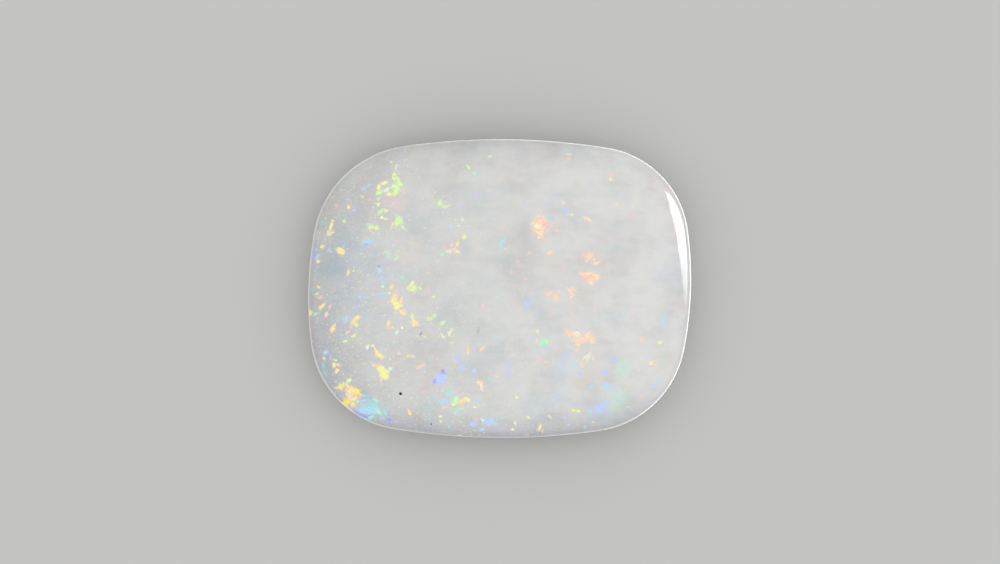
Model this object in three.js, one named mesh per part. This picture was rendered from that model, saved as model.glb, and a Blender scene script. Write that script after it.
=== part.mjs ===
// A polished white opal cabochon: one piece of stone with a cushion outline, a low domed face,
// a thin girdle, a bevelled underside and a flat back.
//
// Millimetres. X runs along the stone's length, Y across its width and Z up through the dome.
// The stone lies on its flat back, and the origin is under its middle.
import * as THREE from "three";

// Driving dimensions of the side profile.
const stoneHeight = 3.6;
const girdleTop = 1.6;
const girdleFoot = 1.25;
const backInset = 1.15;
const bevelBow = 0.1;

// The dome is height * (1 - t^domeFlatness)^(1/2), with t running from 0 in the middle to 1 at the girdle.
// 2 would be an ellipse. A little more keeps the face flat and turns it down quickly at the shoulder.
const domeFlatness = 2.15;

// The outline is four round corners joined by four long shallow arcs, as it comes off a grinding
// wheel, so no two corners are quite alike. They go round anticlockwise, seen from above.
const corners = [
  { x: 4.38, y: 2.16, radius: 4.52 },
  { x: -3.82, y: 1.76, radius: 5.0 },
  { x: -4.25, y: -2.0, radius: 4.67 },
  { x: 4.01, y: -1.98, radius: 4.76 },
];
// Each side runs from the corner of the same place in that list to the next one.
const sideRadii = [32, 17.5, 32, 17];

// How finely the faces are cut.
const outlineSteps = 96;
const domeRings = 18;
const bevelRings = 4;

// The centre of the arc of the given radius that touches two corner circles from outside.
function sideCentre(start, end, radius) {
  const from = new THREE.Vector2(start.x, start.y);
  const along = new THREE.Vector2(end.x, end.y).sub(from);
  const span = along.length();
  along.normalize();
  const inwards = new THREE.Vector2(-along.y, along.x);
  const toStart = radius - start.radius;
  const toEnd = radius - end.radius;
  const run = (toStart ** 2 - toEnd ** 2 + span ** 2) / (2 * span);
  const depth = Math.sqrt(toStart ** 2 - run ** 2);
  return from.addScaledVector(along, run).addScaledVector(inwards, depth);
}

// The eight arcs in turn, each as a centre, a radius and the directions in which it starts and ends.
function outlineArcs() {
  const last = corners.length - 1;
  const sides = corners.map((corner, i) =>
    sideCentre(corner, corners[i === last ? 0 : i + 1], sideRadii[i]),
  );
  const heading = (corner, side) => Math.atan2(corner.y - side.y, corner.x - side.x);
  const arcs = [];
  corners.forEach((corner, i) => {
    const next = corners[i === last ? 0 : i + 1];
    const before = sides[i === 0 ? last : i - 1];
    const after = sides[i];
    arcs.push({
      centre: new THREE.Vector2(corner.x, corner.y),
      radius: corner.radius,
      start: heading(corner, before),
      end: heading(corner, after),
    });
    arcs.push({
      centre: after,
      radius: sideRadii[i],
      start: heading(corner, after),
      end: heading(next, after),
    });
  });
  for (const arc of arcs) {
    while (arc.end < arc.start) arc.end += 2 * Math.PI;
    arc.length = arc.radius * (arc.end - arc.start);
  }
  return arcs;
}

// Evenly spaced stations along the outline. Each one keeps its arc, and the direction that it faces.
function outlineStations(count) {
  const arcs = outlineArcs();
  const total = arcs.reduce((sum, arc) => sum + arc.length, 0);
  const stations = [];
  let arcIndex = 0;
  let passed = 0;
  for (let i = 0; i < count; i += 1) {
    const distance = (total * i) / count;
    while (distance > passed + arcs[arcIndex].length) {
      passed += arcs[arcIndex].length;
      arcIndex += 1;
    }
    const arc = arcs[arcIndex];
    const angle = arc.start + (distance - passed) / arc.radius;
    stations.push({ arc, facing: new THREE.Vector2(Math.cos(angle), Math.sin(angle)) });
  }
  return stations;
}

// A station's point on the outline, or on the line that runs inside it at an even distance.
function outlinePoint(station, inset = 0) {
  const { arc, facing } = station;
  return arc.centre.clone().addScaledVector(facing, arc.radius - inset);
}

// The dome's level lines are the outline near the girdle, and turn into ovals towards the middle.
function domeRing(edge, half, t) {
  const z = girdleTop + (stoneHeight - girdleTop) * Math.sqrt(1 - t ** domeFlatness);
  return edge.map((point) => {
    const toOval = 1 / Math.hypot(point.x / half.x, point.y / half.y);
    const scale = t * THREE.MathUtils.lerp(toOval, 1, t ** 2);
    return new THREE.Vector3(point.x * scale, point.y * scale, z);
  });
}

// The underside runs from the girdle's foot in to the back's edge, and bows out a little on its way.
function bevelRing(stations, share) {
  const bow = bevelBow * Math.sin(Math.PI * share);
  const z = girdleFoot * (1 - share);
  return stations.map((station) => {
    const point = outlinePoint(station, backInset * share - bow);
    return new THREE.Vector3(point.x, point.y, z);
  });
}

// Two triangles for each pair of stations between one ring and the ring above it.
function band(lower, upper) {
  const triangles = [];
  lower.forEach((a, i) => {
    const next = (i + 1) % lower.length;
    triangles.push(a, lower[next], upper[i], lower[next], upper[next], upper[i]);
  });
  return triangles;
}

// A fan of triangles that closes a ring at a point in its middle.
function cap(ring, middle, facesUp) {
  const triangles = [];
  ring.forEach((a, i) => {
    const b = ring[(i + 1) % ring.length];
    triangles.push(...(facesUp ? [a, b, middle] : [b, a, middle]));
  });
  return triangles;
}

function stoneGeometry() {
  const stations = outlineStations(outlineSteps);
  const edge = stations.map((station) => outlinePoint(station));
  const box = new THREE.Box2().setFromPoints(edge);
  const middle = box.getCenter(new THREE.Vector2());
  const half = box.getSize(new THREE.Vector2()).divideScalar(2);
  const rings = [];
  for (let i = bevelRings; i >= 0; i -= 1) rings.push(bevelRing(stations, i / bevelRings));
  for (let i = domeRings; i >= 1; i -= 1) {
    const t = Math.sin((i / domeRings) * (Math.PI / 2));
    rings.push(domeRing(edge, half, t));
  }
  const triangles = [
    ...cap(rings[0], new THREE.Vector3(0, 0, 0), false),
    ...rings.slice(1).flatMap((ring, i) => band(rings[i], ring)),
    ...cap(rings[rings.length - 1], new THREE.Vector3(0, 0, stoneHeight), true),
  ];
  return new THREE.BufferGeometry()
    .setFromPoints(triangles)
    .translate(-middle.x, -middle.y, 0);
}

// Milky white precious opal: a pale grey-white body under a high polish.
function opalMaterial() {
  return new THREE.MeshStandardMaterial({ color: "#d6d6d3", roughness: 0.08, metalness: 0 });
}

const opal = new THREE.Group();
const stone = new THREE.Mesh(stoneGeometry(), opalMaterial());
stone.name = "opal_cabochon";
opal.add(stone);

export default opal;
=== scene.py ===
# %% [markdown]
# # A polished white opal cabochon
#
# A cabochon is a stone that is ground to a smooth dome instead of flat facets. This one is white
# precious opal, cut to a cushion outline of about 18 by 14 mm. Opal is made of tiny glassy balls in
# stacks, and wherever a stack is regular it splits light into one pure colour. Seen from above, the
# stone is a milky grey-white with small bright flakes of lime, yellow, peach and blue in it.
#
# The work goes in this order: the imported frame, the stone's shape, the opal material, and the studio.

# %% [markdown]
# ## The frame
#
# The imported frame holds the plain solid of the stone. It is hidden once a finer piece replaces it, but
# the finer piece takes its height from it, and the last cell prints how far the boxes of the two lie
# apart, so that a drift away from the size that was packed shows.

# %% Load the frame
import math
from typing import NamedTuple

import bmesh
import bpy
from mathutils import Matrix, Vector, noise
from mathutils.bvhtree import BVHTree


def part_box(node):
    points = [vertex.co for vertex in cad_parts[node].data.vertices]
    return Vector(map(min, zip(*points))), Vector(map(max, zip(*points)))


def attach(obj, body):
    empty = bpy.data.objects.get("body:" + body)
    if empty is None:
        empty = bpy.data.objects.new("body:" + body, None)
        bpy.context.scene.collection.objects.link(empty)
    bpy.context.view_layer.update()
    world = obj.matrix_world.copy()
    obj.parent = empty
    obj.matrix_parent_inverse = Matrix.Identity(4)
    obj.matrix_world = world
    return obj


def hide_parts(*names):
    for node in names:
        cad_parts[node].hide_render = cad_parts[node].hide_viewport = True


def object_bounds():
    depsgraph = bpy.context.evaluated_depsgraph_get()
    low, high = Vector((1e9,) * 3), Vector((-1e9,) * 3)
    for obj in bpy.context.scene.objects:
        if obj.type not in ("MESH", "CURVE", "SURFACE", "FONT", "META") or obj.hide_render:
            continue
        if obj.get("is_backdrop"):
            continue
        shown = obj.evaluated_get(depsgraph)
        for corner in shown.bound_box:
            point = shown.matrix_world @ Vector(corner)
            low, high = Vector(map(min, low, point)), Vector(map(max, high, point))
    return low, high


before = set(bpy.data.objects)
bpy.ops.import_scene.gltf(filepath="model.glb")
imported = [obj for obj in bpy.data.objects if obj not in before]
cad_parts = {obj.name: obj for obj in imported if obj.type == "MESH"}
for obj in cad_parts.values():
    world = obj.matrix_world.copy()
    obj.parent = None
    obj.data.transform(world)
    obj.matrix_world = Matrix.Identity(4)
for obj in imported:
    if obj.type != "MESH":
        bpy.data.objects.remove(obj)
cad_low, cad_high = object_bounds()

MM = 0.001
stone_low, stone_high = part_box("opal_cabochon")
stone_size = (stone_high - stone_low) / MM
print("the stone in the frame is", [round(side, 2) for side in stone_size], "mm")

# %% [markdown]
# ## The outline
#
# A cutter draws a cushion shape on the slab and grinds to the line by hand, so no two corners are
# quite alike. Four round corners are joined by four long shallow arcs, and each arc meets the next
# one without a kink. It could be traced as a curve with many points, but eight arcs say the same
# thing, and stay perfectly smooth however finely they are cut.

# %% The eight arcs of the outline
CORNERS = [
    # centre x, centre y and radius in mm, anticlockwise from above, from the upper right corner
    (4.38, 2.16, 4.52),
    (-3.82, 1.76, 5.0),
    (-4.25, -2.0, 4.67),
    (4.01, -1.98, 4.76),
]
# The radii in mm of the top, left, bottom and right sides.
SIDE_RADII = [32, 17.5, 32, 17]


def side_centre(start, end, radius):
    """The centre of the arc that touches two corner circles from outside."""
    origin = Vector(start[:2])
    span = (Vector(end[:2]) - origin).length
    along = (Vector(end[:2]) - origin).normalized()
    inwards = Vector((-along.y, along.x))
    to_start = radius - start[2]
    to_end = radius - end[2]
    run = (to_start**2 - to_end**2 + span**2) / (2 * span)
    depth = math.sqrt(to_start**2 - run**2)
    return origin + along * run + inwards * depth


def heading(point, centre):
    return math.atan2(point[1] - centre[1], point[0] - centre[0])


def outline_arcs():
    """Each arc as centre, radius, start angle and end angle."""
    arcs = []
    sides = [
        side_centre(corner, CORNERS[(i + 1) % 4], SIDE_RADII[i])
        for i, corner in enumerate(CORNERS)
    ]
    for i, corner in enumerate(CORNERS):
        following = CORNERS[(i + 1) % 4]
        before, after = sides[i - 1], sides[i]
        pieces = [
            (Vector(corner[:2]), corner[2], heading(corner, before), heading(corner, after)),
            (after, SIDE_RADII[i], heading(corner, after), heading(following, after)),
        ]
        for centre, radius, start, end in pieces:
            while end < start:
                end += 2 * math.pi
            arcs.append((centre, radius, start, end))
    return arcs


def outline_stations(count):
    """Evenly spaced points along the outline, each with the direction that it faces."""
    arcs = outline_arcs()
    lengths = [radius * (end - start) for _, radius, start, end in arcs]
    stations = []
    place, passed = 0, 0.0
    for i in range(count):
        distance = sum(lengths) * i / count
        while distance > passed + lengths[place]:
            passed += lengths[place]
            place += 1
        centre, radius, start, _ = arcs[place]
        angle = start + (distance - passed) / radius
        facing = Vector((math.cos(angle), math.sin(angle)))
        stations.append((centre + facing * radius, facing))
    return stations


STATIONS = 320
stations = outline_stations(STATIONS)
xs = [point.x for point, _ in stations]
ys = [point.y for point, _ in stations]
middle = Vector(((min(xs) + max(xs)) / 2, (min(ys) + max(ys)) / 2))
half = Vector(((max(xs) - min(xs)) / 2, (max(ys) - min(ys)) / 2))
print("outline", round(2 * half.x, 2), "by", round(2 * half.y, 2), "mm from", len(outline_arcs()), "arcs")

# %% [markdown]
# ## The side profile
#
# From the back, the stone has a flat ground base, a bevel, a thin upright girdle and the low dome.
# The bevel keeps the edge from chipping when the stone is pushed down into a setting. On the real
# stone every ridge between two ground faces is broken with a touch of the wheel, so here each ridge
# is rounded over about a tenth of a millimetre. A Bevel modifier could do that too, but a short curve
# in the profile keeps the rings even. The dome's height falls off as (1 - t^2.15)^(1/2), with t from 0
# in the middle to 1 at the girdle: a power of 2 would be an ellipse, and a little more keeps the face
# flat and the shoulder steep.

# %% The profile, as rings around the stone
GIRDLE_TOP = 1.6
GIRDLE_FOOT = 1.25
BACK_INSET = 1.15
BEVEL_BOW = 0.1
DOME_FLATNESS = 2.15
RIDGE = 0.09
STONE_HEIGHT = stone_size.z


def rounded_ridge(before, ridge, after, steps=6):
    """A short curve that cuts a ridge off between two points beside it."""
    curve = []
    for i in range(steps + 1):
        s = i / steps
        weights = ((1 - s) ** 2, 2 * s * (1 - s), s**2)
        curve.append(tuple(
            weights[0] * a + weights[1] * b + weights[2] * c
            for a, b, c in zip(before, ridge, after)
        ))
    return curve


def bevel_point(share):
    """A point of the underside, as inset and height, from the girdle's foot (0) to the back (1)."""
    inset = BACK_INSET * share - BEVEL_BOW * math.sin(math.pi * share)
    return inset, GIRDLE_FOOT * (1 - share)


BEVEL_CUTS = 22
RIDGE_SHARE = 0.07
bevel_shares = [
    1 - RIDGE_SHARE - (1 - 2 * RIDGE_SHARE) * i / BEVEL_CUTS for i in range(BEVEL_CUTS + 1)
]
underside = [
    *rounded_ridge((BACK_INSET + RIDGE, 0.0), (BACK_INSET, 0.0), bevel_point(1 - RIDGE_SHARE)),
    *[bevel_point(share) for share in bevel_shares[1:-1]],
    *rounded_ridge(bevel_point(RIDGE_SHARE), (0.0, GIRDLE_FOOT), (0.0, GIRDLE_FOOT + RIDGE)),
    (0.0, (GIRDLE_FOOT + RIDGE + GIRDLE_TOP) / 2),
]
print(len(underside), "rings from the back's edge to the girdle")

# %% [markdown]
# ## The stone's surface
#
# The dome is hand polished, so it isn't a perfect curve: long, very low waves of a few thousandths of
# a millimetre are left by the soft polishing pad. They only show in how a reflection bends. The waves
# go downwards alone, so the stone stays inside its measured height. The whole surface is built ring by
# ring in mesh code, because the level lines of the dome change from the cushion outline at the girdle
# to an oval near the top.

# %% Build the rings
DOME_RINGS = 72
BACK_RINGS = 26
WAVE_DEPTH = 0.004
WAVE_LENGTH = 2.2


def back_ring(share):
    """The flat back, from its edge (1) to its middle (0)."""
    inset = BACK_INSET + RIDGE
    return [
        Vector((*((point - facing * inset - middle) * share), 0.0)) for point, facing in stations
    ]


def underside_ring(inset, height):
    return [Vector((*(point - facing * inset - middle), height)) for point, facing in stations]


def polish_wave(x, y, t):
    """How far the pad has sunk the surface, in mm. It fades out at the girdle and in the middle."""
    swell = noise.noise(Vector((x, y, 0.0)) / WAVE_LENGTH)
    return WAVE_DEPTH * (1 + swell) * (1 - t**8) * min(1.0, 4 * t)


def dome_ring(t):
    rise = (STONE_HEIGHT - GIRDLE_TOP) * math.sqrt(max(0.0, 1 - t**DOME_FLATNESS))
    ring = []
    for point, _ in stations:
        edge = point - middle
        to_oval = 1 / math.hypot(edge.x / half.x, edge.y / half.y)
        place = edge * t * (to_oval + (1 - to_oval) * t**2)
        ring.append(Vector((place.x, place.y, GIRDLE_TOP + rise - polish_wave(place.x, place.y, t))))
    return ring


rings = [back_ring((i + 1) / BACK_RINGS) for i in range(BACK_RINGS - 1)]
rings += [underside_ring(inset, height) for inset, height in underside]
rings += [dome_ring(math.sin(i / DOME_RINGS * math.pi / 2)) for i in range(DOME_RINGS, 0, -1)]
print(len(rings), "rings of", STATIONS, "points")

# %% Join the rings into one closed skin


def skin(rings, bottom, top):
    """A closed mesh of four-sided faces, with a fan at each end."""
    mesh = bmesh.new()
    rows = [[mesh.verts.new(point * MM) for point in ring] for ring in rings]
    low, high = mesh.verts.new(bottom * MM), mesh.verts.new(top * MM)
    count = len(rings[0])
    for i in range(count):
        after = (i + 1) % count
        mesh.faces.new((low, rows[0][after], rows[0][i]))
        mesh.faces.new((high, rows[-1][i], rows[-1][after]))
        for lower, upper in zip(rows, rows[1:]):
            mesh.faces.new((lower[i], lower[after], upper[after], upper[i]))
    return mesh


stone_mesh = skin(rings, Vector((0, 0, 0)), Vector((0, 0, STONE_HEIGHT)))
print(len(stone_mesh.verts), "points and", len(stone_mesh.faces), "faces")

# %% [markdown]
# ## Reading places off the photograph
#
# Marks on the stone are placed at a pixel of the reference photograph, which is 1000 pixels wide.
# The photograph is flat and the stone is domed, so a straight line is followed from the camera through
# that pixel until it meets the face. Without that, a mark high on the dome would land too far out,
# because it is nearer to the camera than the girdle is.

# %% Where the camera hangs, and where a pixel lands on the stone
# The pixel over the middle of the stone, and one pixel's size in mm at the girdle.
PHOTO_MIDDLE = (499.6, 288.6)
PIXEL = 0.0471
# The whole picture in pixels.
PICTURE_WIDTH = 1000
PICTURE_MIDDLE = (500, 282)
# Focal length and sensor width in mm.
LENS = 100
SENSOR = 36


def at_girdle(photo_x, photo_y):
    """A pixel's place at the girdle's height, in mm from the middle of the stone's back."""
    across, up = photo_x - PHOTO_MIDDLE[0], PHOTO_MIDDLE[1] - photo_y
    return Vector((across * PIXEL, up * PIXEL, GIRDLE_TOP))


eye = at_girdle(*PICTURE_MIDDLE) + Vector((0, 0, PICTURE_WIDTH * PIXEL * LENS / SENSOR))
face_tree = BVHTree.FromBMesh(stone_mesh)


def on_stone(photo_x, photo_y):
    """The place in mm where a pixel lands on the face. Past the outline it stays at the girdle."""
    level = at_girdle(photo_x, photo_y)
    hit = face_tree.ray_cast(eye * MM, (level - eye).normalized())[0]
    return hit / MM if hit else level


print("the camera is", round(eye.z, 1), "mm above the floor")

# %% [markdown]
# ## The pit
#
# One tiny pit, a burst bubble, lies near the lower left corner, and a black speck is painted in it
# with the flashes. A black dot in the material would be enough from above, but a real hollow also shows
# in the mirror of the polish when the stone is turned. So the faces around its place are cut finely and
# a small bowl is pushed in.

# %% Sink the pit
PIT_PLACE = on_stone(400.8, 393.8)
PIT_RADIUS = 0.062
PIT_DEPTH = 0.05
PIT_REACH = 0.2
PIT_CUTS = 7
PIT_BOWL = 0.8


def sink_pit(mesh, place, radius, depth):
    """Cut the faces around a place finely, then push a small bowl into them."""
    centre = Vector((place[0] * MM, place[1] * MM))
    above = GIRDLE_TOP * MM
    near = {
        edge
        for face in mesh.faces
        if face.calc_center_median().z > above
        and (face.calc_center_median().xy - centre).length < PIT_REACH * MM
        for edge in face.edges
    }
    bmesh.ops.subdivide_edges(mesh, edges=list(near), cuts=PIT_CUTS, use_grid_fill=True)
    sunk = 0
    for vert in mesh.verts:
        away = (vert.co.xy - centre).length / (radius * MM)
        if vert.co.z > above and away < 1:
            vert.co.z -= depth * MM * (1 - away**2) ** PIT_BOWL
            sunk += 1
    return sunk


print(sink_pit(stone_mesh, PIT_PLACE, PIT_RADIUS, PIT_DEPTH), "points sunk in the pit")

# %% Make the object
bmesh.ops.recalc_face_normals(stone_mesh, faces=stone_mesh.faces)
for face in stone_mesh.faces:
    face.smooth = True
stone_data = bpy.data.meshes.new("polished_opal")
stone_mesh.to_mesh(stone_data)
stone_mesh.free()
stone = bpy.data.objects.new("polished_opal", stone_data)
bpy.context.scene.collection.objects.link(stone)
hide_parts("opal_cabochon")
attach(stone, "root")
print(sum(len(face.vertices) - 2 for face in stone_data.polygons), "triangles")

# %% [markdown]
# ## Milky white precious opal, ground and polished with cerium oxide
#
# Opal is hydrated silica glass. White opal scatters light inside, so its body is a soft grey-white
# that looks lit from within, and its polished face gives a clean mirror highlight that is weaker than
# that of window glass, because its refractive index is only about 1.45. The flakes of colour sit just
# under the face. Each one is one regular stack of silica balls, so it has one hue, a crisp ragged
# edge, and is drawn out in the direction in which the gel once flowed.
#
# The flakes could be painted on an image, but an image fixes their sharpness, so they are made of
# nodes. First come the node helper and the textures that all flakes share.

# %% The opal material's start
opal = bpy.data.materials.new("white_precious_opal_polished")
opal.use_nodes = True
opal_tree = opal.node_tree
opal_tree.nodes.clear()


def add(tree, kind, inputs=None, **settings):
    """Add one node with its settings, and give each named input its value or its link."""
    node = tree.nodes.new(kind)
    for name, value in settings.items():
        setattr(node, name, value)
    for name, value in (inputs or {}).items():
        if isinstance(value, bpy.types.NodeSocket):
            tree.links.new(value, node.inputs[name])
        else:
            node.inputs[name].default_value = value
    return node


place = add(opal_tree, "ShaderNodeTexCoord").outputs["Object"]
in_mm = add(opal_tree, "ShaderNodeVectorMath", {0: place, "Scale": 1 / MM}, operation="SCALE").outputs[0]
print("the opal's textures are measured in millimetres")

# %% [markdown]
# ## Ragged edges and grain
#
# A flake's edge wanders, so the point that is looked up is first pushed about by a noise as long as a
# flake. Inside, a flake is a patchwork of strokes under a tenth of a millimetre wide. Voronoi cells
# give that, on coordinates that are turned and squeezed so that the cells become strokes. Two sets
# are made, because some flakes lean to the right and others to the left, and the strokes with them.

# %% Warp and strokes
# The noise's wave, and how far it pushes, in mm.
LONG_WARP = (0.35, 0.13)
STROKE_WIDTH = 0.075
STROKE_STRETCH = 2.0
LEANS = {"right": 50, "left": -50}


def warped(tree, point, wave, push):
    """The point, pushed about by a noise. Both sizes are in mm."""
    ripple = add(tree, "ShaderNodeTexNoise", {"Vector": point, "Scale": 1 / wave, "Detail": 1.0})
    centred = add(
        tree,
        "ShaderNodeVectorMath",
        {0: ripple.outputs["Color"], 1: (0.5, 0.5, 0.5)},
        operation="SUBTRACT",
    )
    scaled = add(tree, "ShaderNodeVectorMath", {0: centred.outputs[0], "Scale": push}, operation="SCALE")
    return add(tree, "ShaderNodeVectorMath", {0: point, 1: scaled.outputs[0]}).outputs[0]


def cells(tree, point, size, turn=0.0):
    """Voronoi cells of a size in mm: three random numbers each, and the distance from the middle."""
    turned = add(
        tree,
        "ShaderNodeMapping",
        {"Vector": point, "Rotation": (0, 0, math.radians(turn)), "Scale": size},
        vector_type="TEXTURE",
    )
    voronoi = add(tree, "ShaderNodeTexVoronoi", {"Vector": turned.outputs[0], "Scale": 1.0})
    parts = add(tree, "ShaderNodeSeparateColor", {0: voronoi.outputs["Color"]})
    return (*[parts.outputs[name] for name in ("Red", "Green", "Blue")], voronoi.outputs["Distance"])


wandering = warped(opal_tree, in_mm, *LONG_WARP)
stroke_size = (STROKE_WIDTH * STROKE_STRETCH, STROKE_WIDTH, STROKE_WIDTH)
grains = {}
for side, lean in LEANS.items():
    chance = cells(opal_tree, wandering, stroke_size, lean)[0]
    grains[side] = add(opal_tree, "ShaderNodeMath", {0: chance, 1: 0.5}, operation="SUBTRACT").outputs[0]
print("stroke sets:", list(grains))

# %% [markdown]
# ## Families of hue
#
# A flake is never quite one colour: as the stack of balls tilts a little from grain to grain, its hue
# slides to the neighbours in the rainbow. So each hue here is a family, a short ramp that every tiny
# grain picks its own place on. The colours are written as sRGB hex, as a picture program shows them.

# %% Hex colours and colour ramps


def linear(hex_colour):
    """An sRGB hex colour as the linear numbers that a shader works with."""
    parts = [int(hex_colour[i : i + 2], 16) / 255 for i in (1, 3, 5)]
    straight = [p / 12.92 if p <= 0.04045 else ((p + 0.055) / 1.055) ** 2.4 for p in parts]
    return (*straight, 1.0)


def set_stops(ramp, stops):
    """Give a colour ramp its stops, each a place from 0 to 1 and a hex colour."""
    marks = ramp.color_ramp.elements
    while len(marks) < len(stops):
        marks.new(0.5)
    for mark, (position, hex_colour) in zip(marks, stops):
        mark.position = position
        mark.color = linear(hex_colour)


print("mid grey #808080 is", round(linear("#808080")[0], 3), "in a shader")

# %% Palette and families
PALETTE = {
    "white": "#f8faf3",
    "cream": "#f2f3d0",
    "lemon": "#fbf49c",
    "yellow": "#fbea62",
    "lime": "#d8fbaa",
    "mint": "#c0f0c8",
    "teal": "#99ccc4",
    "aqua": "#9ee6ee",
    "sky": "#bbddfa",
    "periwinkle": "#c2d0fd",
    "violet": "#9da4f3",
    "lilac": "#d4cbf0",
    "pink": "#f8c8c1",
    "peach": "#fad8bf",
    "apricot": "#fcd9ae",
    "amber": "#fde3a8",
    "soot": "#171412",
    "olive": "#85847a",
    "slate": "#a3b0ba",
    "mauve": "#b7aaa9",
}
FAMILIES = {
    "lime": ["mint", "lime", "lime", "lime", "lemon"],
    "lemon": ["lime", "lemon", "lemon", "lemon", "cream"],
    "gold": ["lemon", "lemon", "amber", "amber", "peach"],
    "yellow": ["lemon", "yellow", "yellow", "amber"],
    "amber": ["lemon", "amber", "amber", "peach"],
    "apricot": ["cream", "apricot", "apricot", "peach"],
    "peach": ["cream", "peach", "peach", "peach", "pink"],
    "pink": ["peach", "pink", "pink", "lilac"],
    "cream": ["white", "cream", "cream", "lemon"],
    "mint": ["aqua", "mint", "mint", "mint"],
    "teal": ["teal", "teal", "aqua"],
    "aqua": ["mint", "aqua", "aqua", "sky"],
    "sky": ["sky", "sky", "sky", "periwinkle"],
    "periwinkle": ["sky", "periwinkle", "periwinkle", "periwinkle"],
    "violet": ["periwinkle", "violet", "violet"],
    "lilac": ["periwinkle", "lilac", "lilac", "pink"],
    "soot": ["soot", "soot"],
    "olive": ["olive", "olive"],
    "slate": ["slate", "slate"],
    "mauve": ["mauve", "mauve"],
}
GRAIN_SIZE = 0.085
GRAIN_TURN = 20


def family_ramp(tree, names, chance):
    """The colour that each grain picks from a family."""
    ramp = add(tree, "ShaderNodeValToRGB", {"Fac": chance})
    set_stops(ramp, [(i / (len(names) - 1), PALETTE[name]) for i, name in enumerate(names)])
    return ramp.outputs["Color"]


hue_chance = cells(opal_tree, wandering, (GRAIN_SIZE,) * 3, GRAIN_TURN)[0]
families = {name: family_ramp(opal_tree, hues, hue_chance) for name, hues in FAMILIES.items()}
print(len(families), "families of", len(PALETTE), "hues")

# %% [markdown]
# ## One flash
#
# Every flash is the same small recipe: an oval at a place, turned and sized, whose rim is roughened
# by the strokes. Making it once as a node group keeps the material readable, and a loop can then lay
# as many as the stone shows. "Broken" says how far the strokes eat into the rim, and "Full" how far
# from the middle the flash keeps its full strength. Milky opal lies over every flake and blurs it,
# so the rim fades out a little past the oval, and for a flake deep in the stone the fading starts
# nearer the middle.

# %% The flash as a node group
RIM_FADE = 1.4
flash_group = bpy.data.node_groups.new("opal_flash", "ShaderNodeTree")
for name, kind in [
    ("Under", "Color"),
    ("Point", "Vector"),
    ("Zoom", "Vector"),
    ("Shift", "Vector"),
    ("Grain", "Float"),
    ("Broken", "Float"),
    ("Full", "Float"),
    ("Strength", "Float"),
    ("Hue", "Color"),
]:
    flash_group.interface.new_socket(name, in_out="INPUT", socket_type="NodeSocket" + kind)
flash_group.interface.new_socket("Colour", in_out="OUTPUT", socket_type="NodeSocketColor")

given = add(flash_group, "NodeGroupInput").outputs
local = add(
    flash_group,
    "ShaderNodeVectorMath",
    {0: given["Point"], 1: given["Zoom"], 2: given["Shift"]},
    operation="MULTIPLY_ADD",
).outputs[0]
reach = add(flash_group, "ShaderNodeVectorMath", {0: local}, operation="LENGTH").outputs["Value"]
rough_reach = add(
    flash_group,
    "ShaderNodeMath",
    {0: given["Grain"], 1: given["Broken"], 2: reach},
    operation="MULTIPLY_ADD",
).outputs[0]
shown = add(
    flash_group,
    "ShaderNodeMapRange",
    {
        "Value": rough_reach,
        "From Min": RIM_FADE,
        "From Max": given["Full"],
        "To Max": given["Strength"],
    },
    interpolation_type="SMOOTHSTEP",
    clamp=False,
).outputs[0]
laid = add(
    flash_group, "ShaderNodeMix", {0: shown, 6: given["Under"], 7: given["Hue"]}, data_type="RGBA"
).outputs[2]
add(flash_group, "NodeGroupOutput", {"Colour": laid})
print("a flash is", len(flash_group.nodes) - 2, "nodes")

# %% [markdown]
# ## The milky body
#
# The body isn't one grey. It is bluer on the left. A ramp along the stone's length also paints light
# and shade on it: lighter on the right and darker on the left, as if lit from the right. Painted
# shade darkens the dome near its rim along the bottom and at the upper left. That follows how high
# the surface lies, and how far it is from the middle in the edge's direction.

# %% Body, with painted light and shade
# The stone's own grey, bluer at the left, with painted light: lighter to the right and darker to the
# left.
BODY_AND_SIDE_LIGHT_STOPS = [
    # place along the length from the left end (0) to the right end (1), and the colour there
    (0.0, "#bbbbb9"),
    (0.08, "#c2c5c8"),
    (0.17, "#cfd0d0"),
    (0.29, "#d3d2d0"),
    (0.5, "#d7d7d5"),
    (0.8, "#dbdbd9"),
    (1.0, "#dddddc"),
]
# Painted shade along the edges: the dome is darker near its rim along the bottom and at the upper left.
PAINTED_EDGE_SHADE = [
    # direction, where the edge starts and ends along it and in height, its colour, and its strength
    ((-0.3, -1.0, 0.0), (1.0, 6.2), (3.0, 1.9), "#b3b2ba", 0.85),
    ((-0.6, 1.0, 0.0), (2.0, 9.0), (3.2, 1.8), "#bcbcbb", 0.6),
]

axes = add(opal_tree, "ShaderNodeSeparateXYZ", {0: in_mm}).outputs
lengthwise = add(
    opal_tree, "ShaderNodeMath", {0: axes["X"], 1: 0.5 / half.x, 2: 0.5}, operation="MULTIPLY_ADD"
).outputs[0]
body = add(opal_tree, "ShaderNodeValToRGB", {"Fac": lengthwise})
set_stops(body, BODY_AND_SIDE_LIGHT_STOPS)
colour = body.outputs["Color"]
smooth = {"interpolation_type": "SMOOTHSTEP", "clamp": False}
for direction, stretch, heights, hex_colour, strength in PAINTED_EDGE_SHADE:
    out = add(opal_tree, "ShaderNodeVectorMath", {0: in_mm, 1: direction}, operation="DOT_PRODUCT")
    outward = add(
        opal_tree,
        "ShaderNodeMapRange",
        {
            "Value": out.outputs["Value"],
            "From Min": stretch[0],
            "From Max": stretch[1],
            "To Max": strength,
        },
        **smooth,
    ).outputs[0]
    edge_shade = add(
        opal_tree,
        "ShaderNodeMapRange",
        {"Value": axes["Z"], "From Min": heights[0], "From Max": heights[1], "To Max": outward},
        **smooth,
    ).outputs[0]
    colour = add(
        opal_tree, "ShaderNodeMix", {0: edge_shade, 6: colour, 7: linear(hex_colour)}, data_type="RGBA"
    ).outputs[2]
print(len(BODY_AND_SIDE_LIGHT_STOPS), "stops along the length and", len(PAINTED_EDGE_SHADE), "thin edges")

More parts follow.
